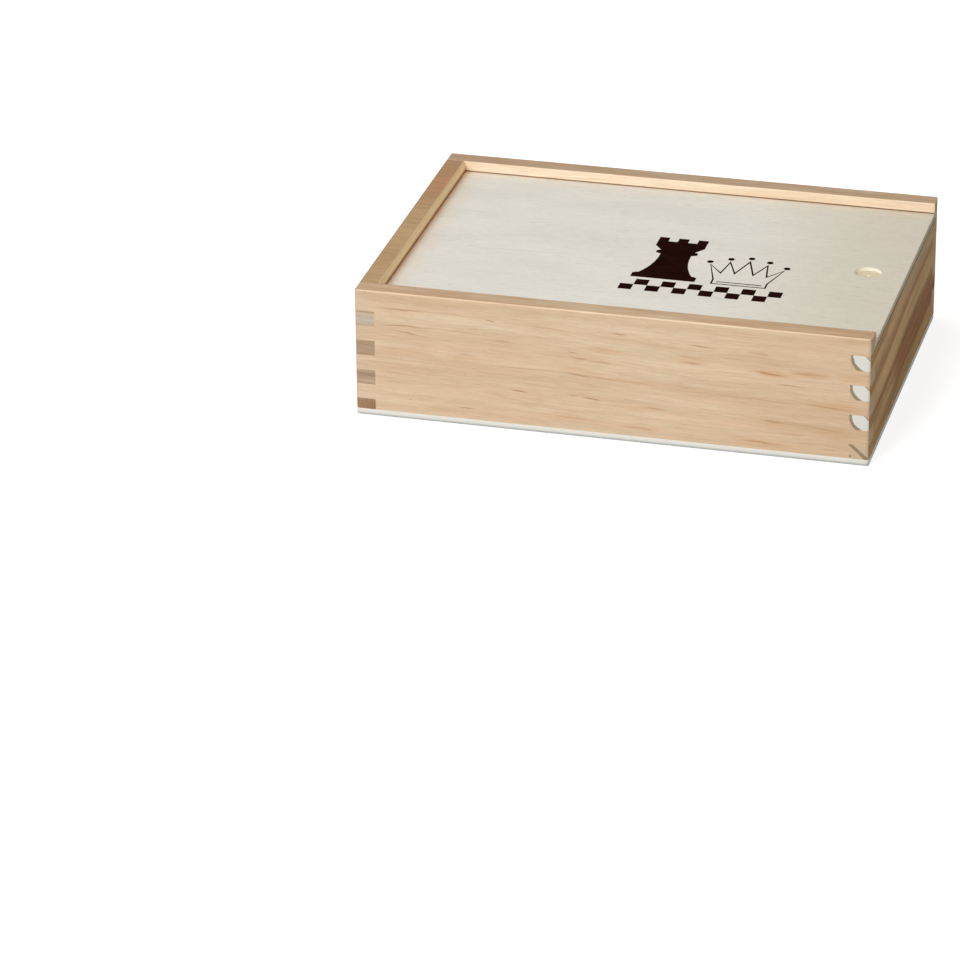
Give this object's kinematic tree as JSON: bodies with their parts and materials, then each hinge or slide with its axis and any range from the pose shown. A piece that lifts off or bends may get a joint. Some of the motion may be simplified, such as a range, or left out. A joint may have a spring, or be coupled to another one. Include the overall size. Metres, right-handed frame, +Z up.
{
  "type": "chess box with sliding lid",
  "caption": "Wooden box for a set of chess pieces: finger-jointed walls on a plywood base, and a plywood lid that slides out endways in grooves under the rim.",
  "frame": {"origin": "centre of the underside of the base", "axes": "+X the way the lid slides out, along the box's length; -Y the front face; +Z up, towards the rim"},
  "size_m": [0.23, 0.165, 0.06],
  "materials": {
    "pine_front": "bare sanded pine, fine reddish horizontal grain",
    "pine_back": "bare sanded pine",
    "pine_ends": "bare sanded pine with broad brown latewood bands",
    "plywood_base": "bare pale poplar plywood",
    "plywood_lid": "bare pale poplar plywood, fine grain along the lid",
    "print_ink": "thin matt dark brown print on the lid"
  },
  "bodies": {
    "box": {"front_wall": "pine_front", "back_wall": "pine_back", "left_wall": "pine_ends", "right_wall": "pine_ends", "base_panel": "plywood_base"},
    "lid": {"lid_panel": "plywood_lid"}
  },
  "joints": [
    {"name": "lid_slide", "type": "slide", "parent": "box", "child": "lid", "axis": [1, 0, 0], "range_m": [0, 0.22]}
  ]
}
